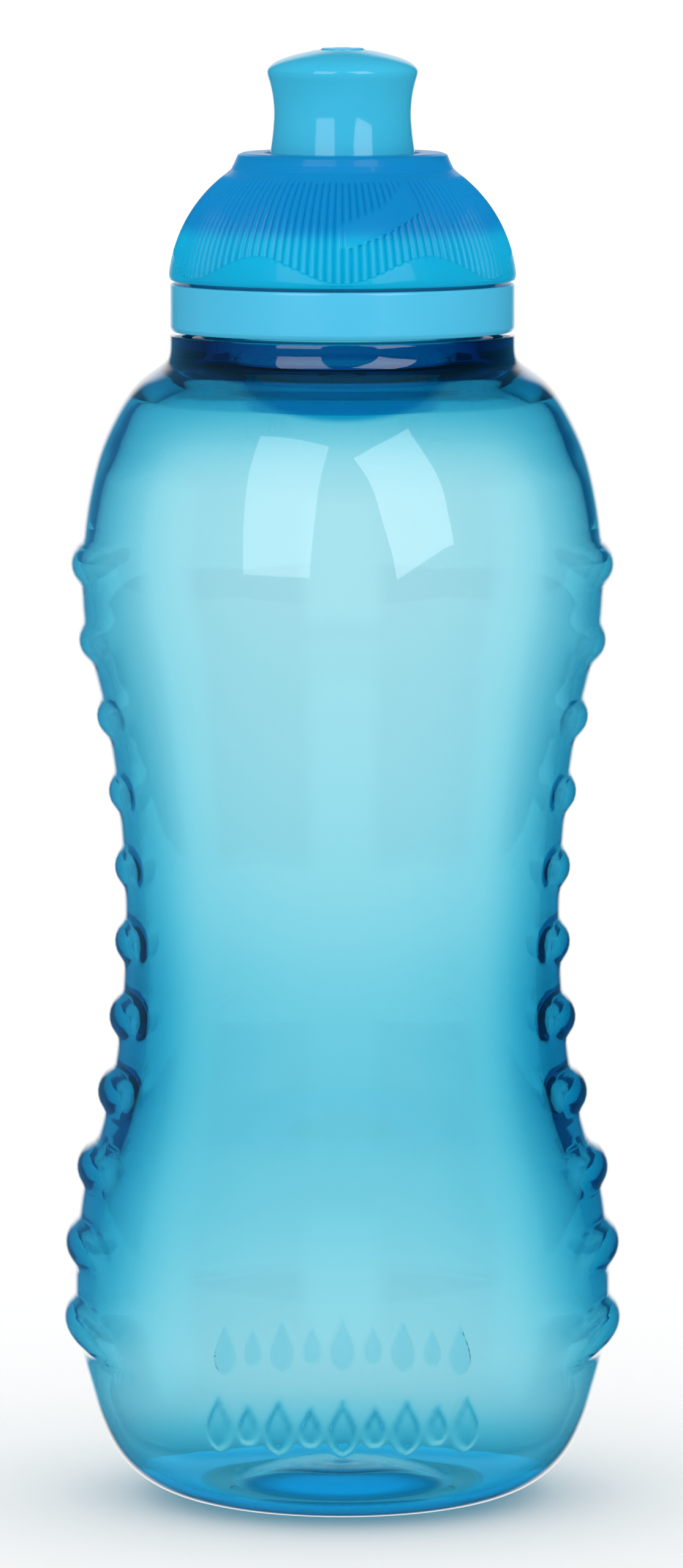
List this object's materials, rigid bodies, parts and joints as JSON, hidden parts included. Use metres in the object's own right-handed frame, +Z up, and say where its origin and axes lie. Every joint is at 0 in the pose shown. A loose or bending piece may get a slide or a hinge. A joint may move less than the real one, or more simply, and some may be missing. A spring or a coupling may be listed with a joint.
{
  "type": "sports squeeze bottle",
  "caption": "Waisted squeezable sports bottle with ribbed grip sides, a screw cap, and a fluted twisting dome that lifts a drinking spout.",
  "frame": {"origin": "centre of the foot ring, on the surface that the bottle stands on", "axes": "+Z up along the bottle's axis to the spout; -Y is the front; the grip ribs are on the +X and -X sides"},
  "size_m": [0.0664, 0.0638, 0.1722],
  "materials": {
    "bottle_plastic": "clear tinted blue, glossy, moulded",
    "dome_plastic": "translucent mid blue, glossy",
    "spout_plastic": "soft translucent blue, satin gloss",
    "cap_plastic": "opaque light blue, satin gloss",
    "seal_rubber": "matt translucent white"
  },
  "bodies": {
    "bottle": {"bottle_body": "bottle_plastic", "bottle_neck": "bottle_plastic"},
    "seal": {"neck_seal": "seal_rubber"},
    "cap": {"screw_cap": "cap_plastic", "spout_seal": "seal_rubber"},
    "dome": {"twist_dome": "dome_plastic"},
    "spout": {"spout": "spout_plastic"}
  },
  "joints": [
    {"name": "cap_turn", "type": "hinge", "parent": "seal", "child": "cap", "pos_m": [0, 0, 0.14], "axis": [0, 0, 1], "range_deg": [0, 1260]},
    {"name": "cap_rise", "type": "slide", "parent": "bottle", "child": "seal", "axis": [0, 0, 1], "range_m": [0, 0.014]},
    {"name": "dome_twist", "type": "hinge", "parent": "cap", "child": "dome", "pos_m": [0, 0, 0.15], "axis": [0, 0, 1], "range_deg": [0, 90]},
    {"name": "spout_lift", "type": "slide", "parent": "cap", "child": "spout", "axis": [0, 0, 1], "range_m": [0, 0.004]}
  ],
  "couplings": [
    {"joint": "cap_rise", "follows": "cap_turn", "m_per_rad": 0.00063662},
    {"joint": "spout_lift", "follows": "dome_twist", "m_per_rad": 0.0025465}
  ]
}
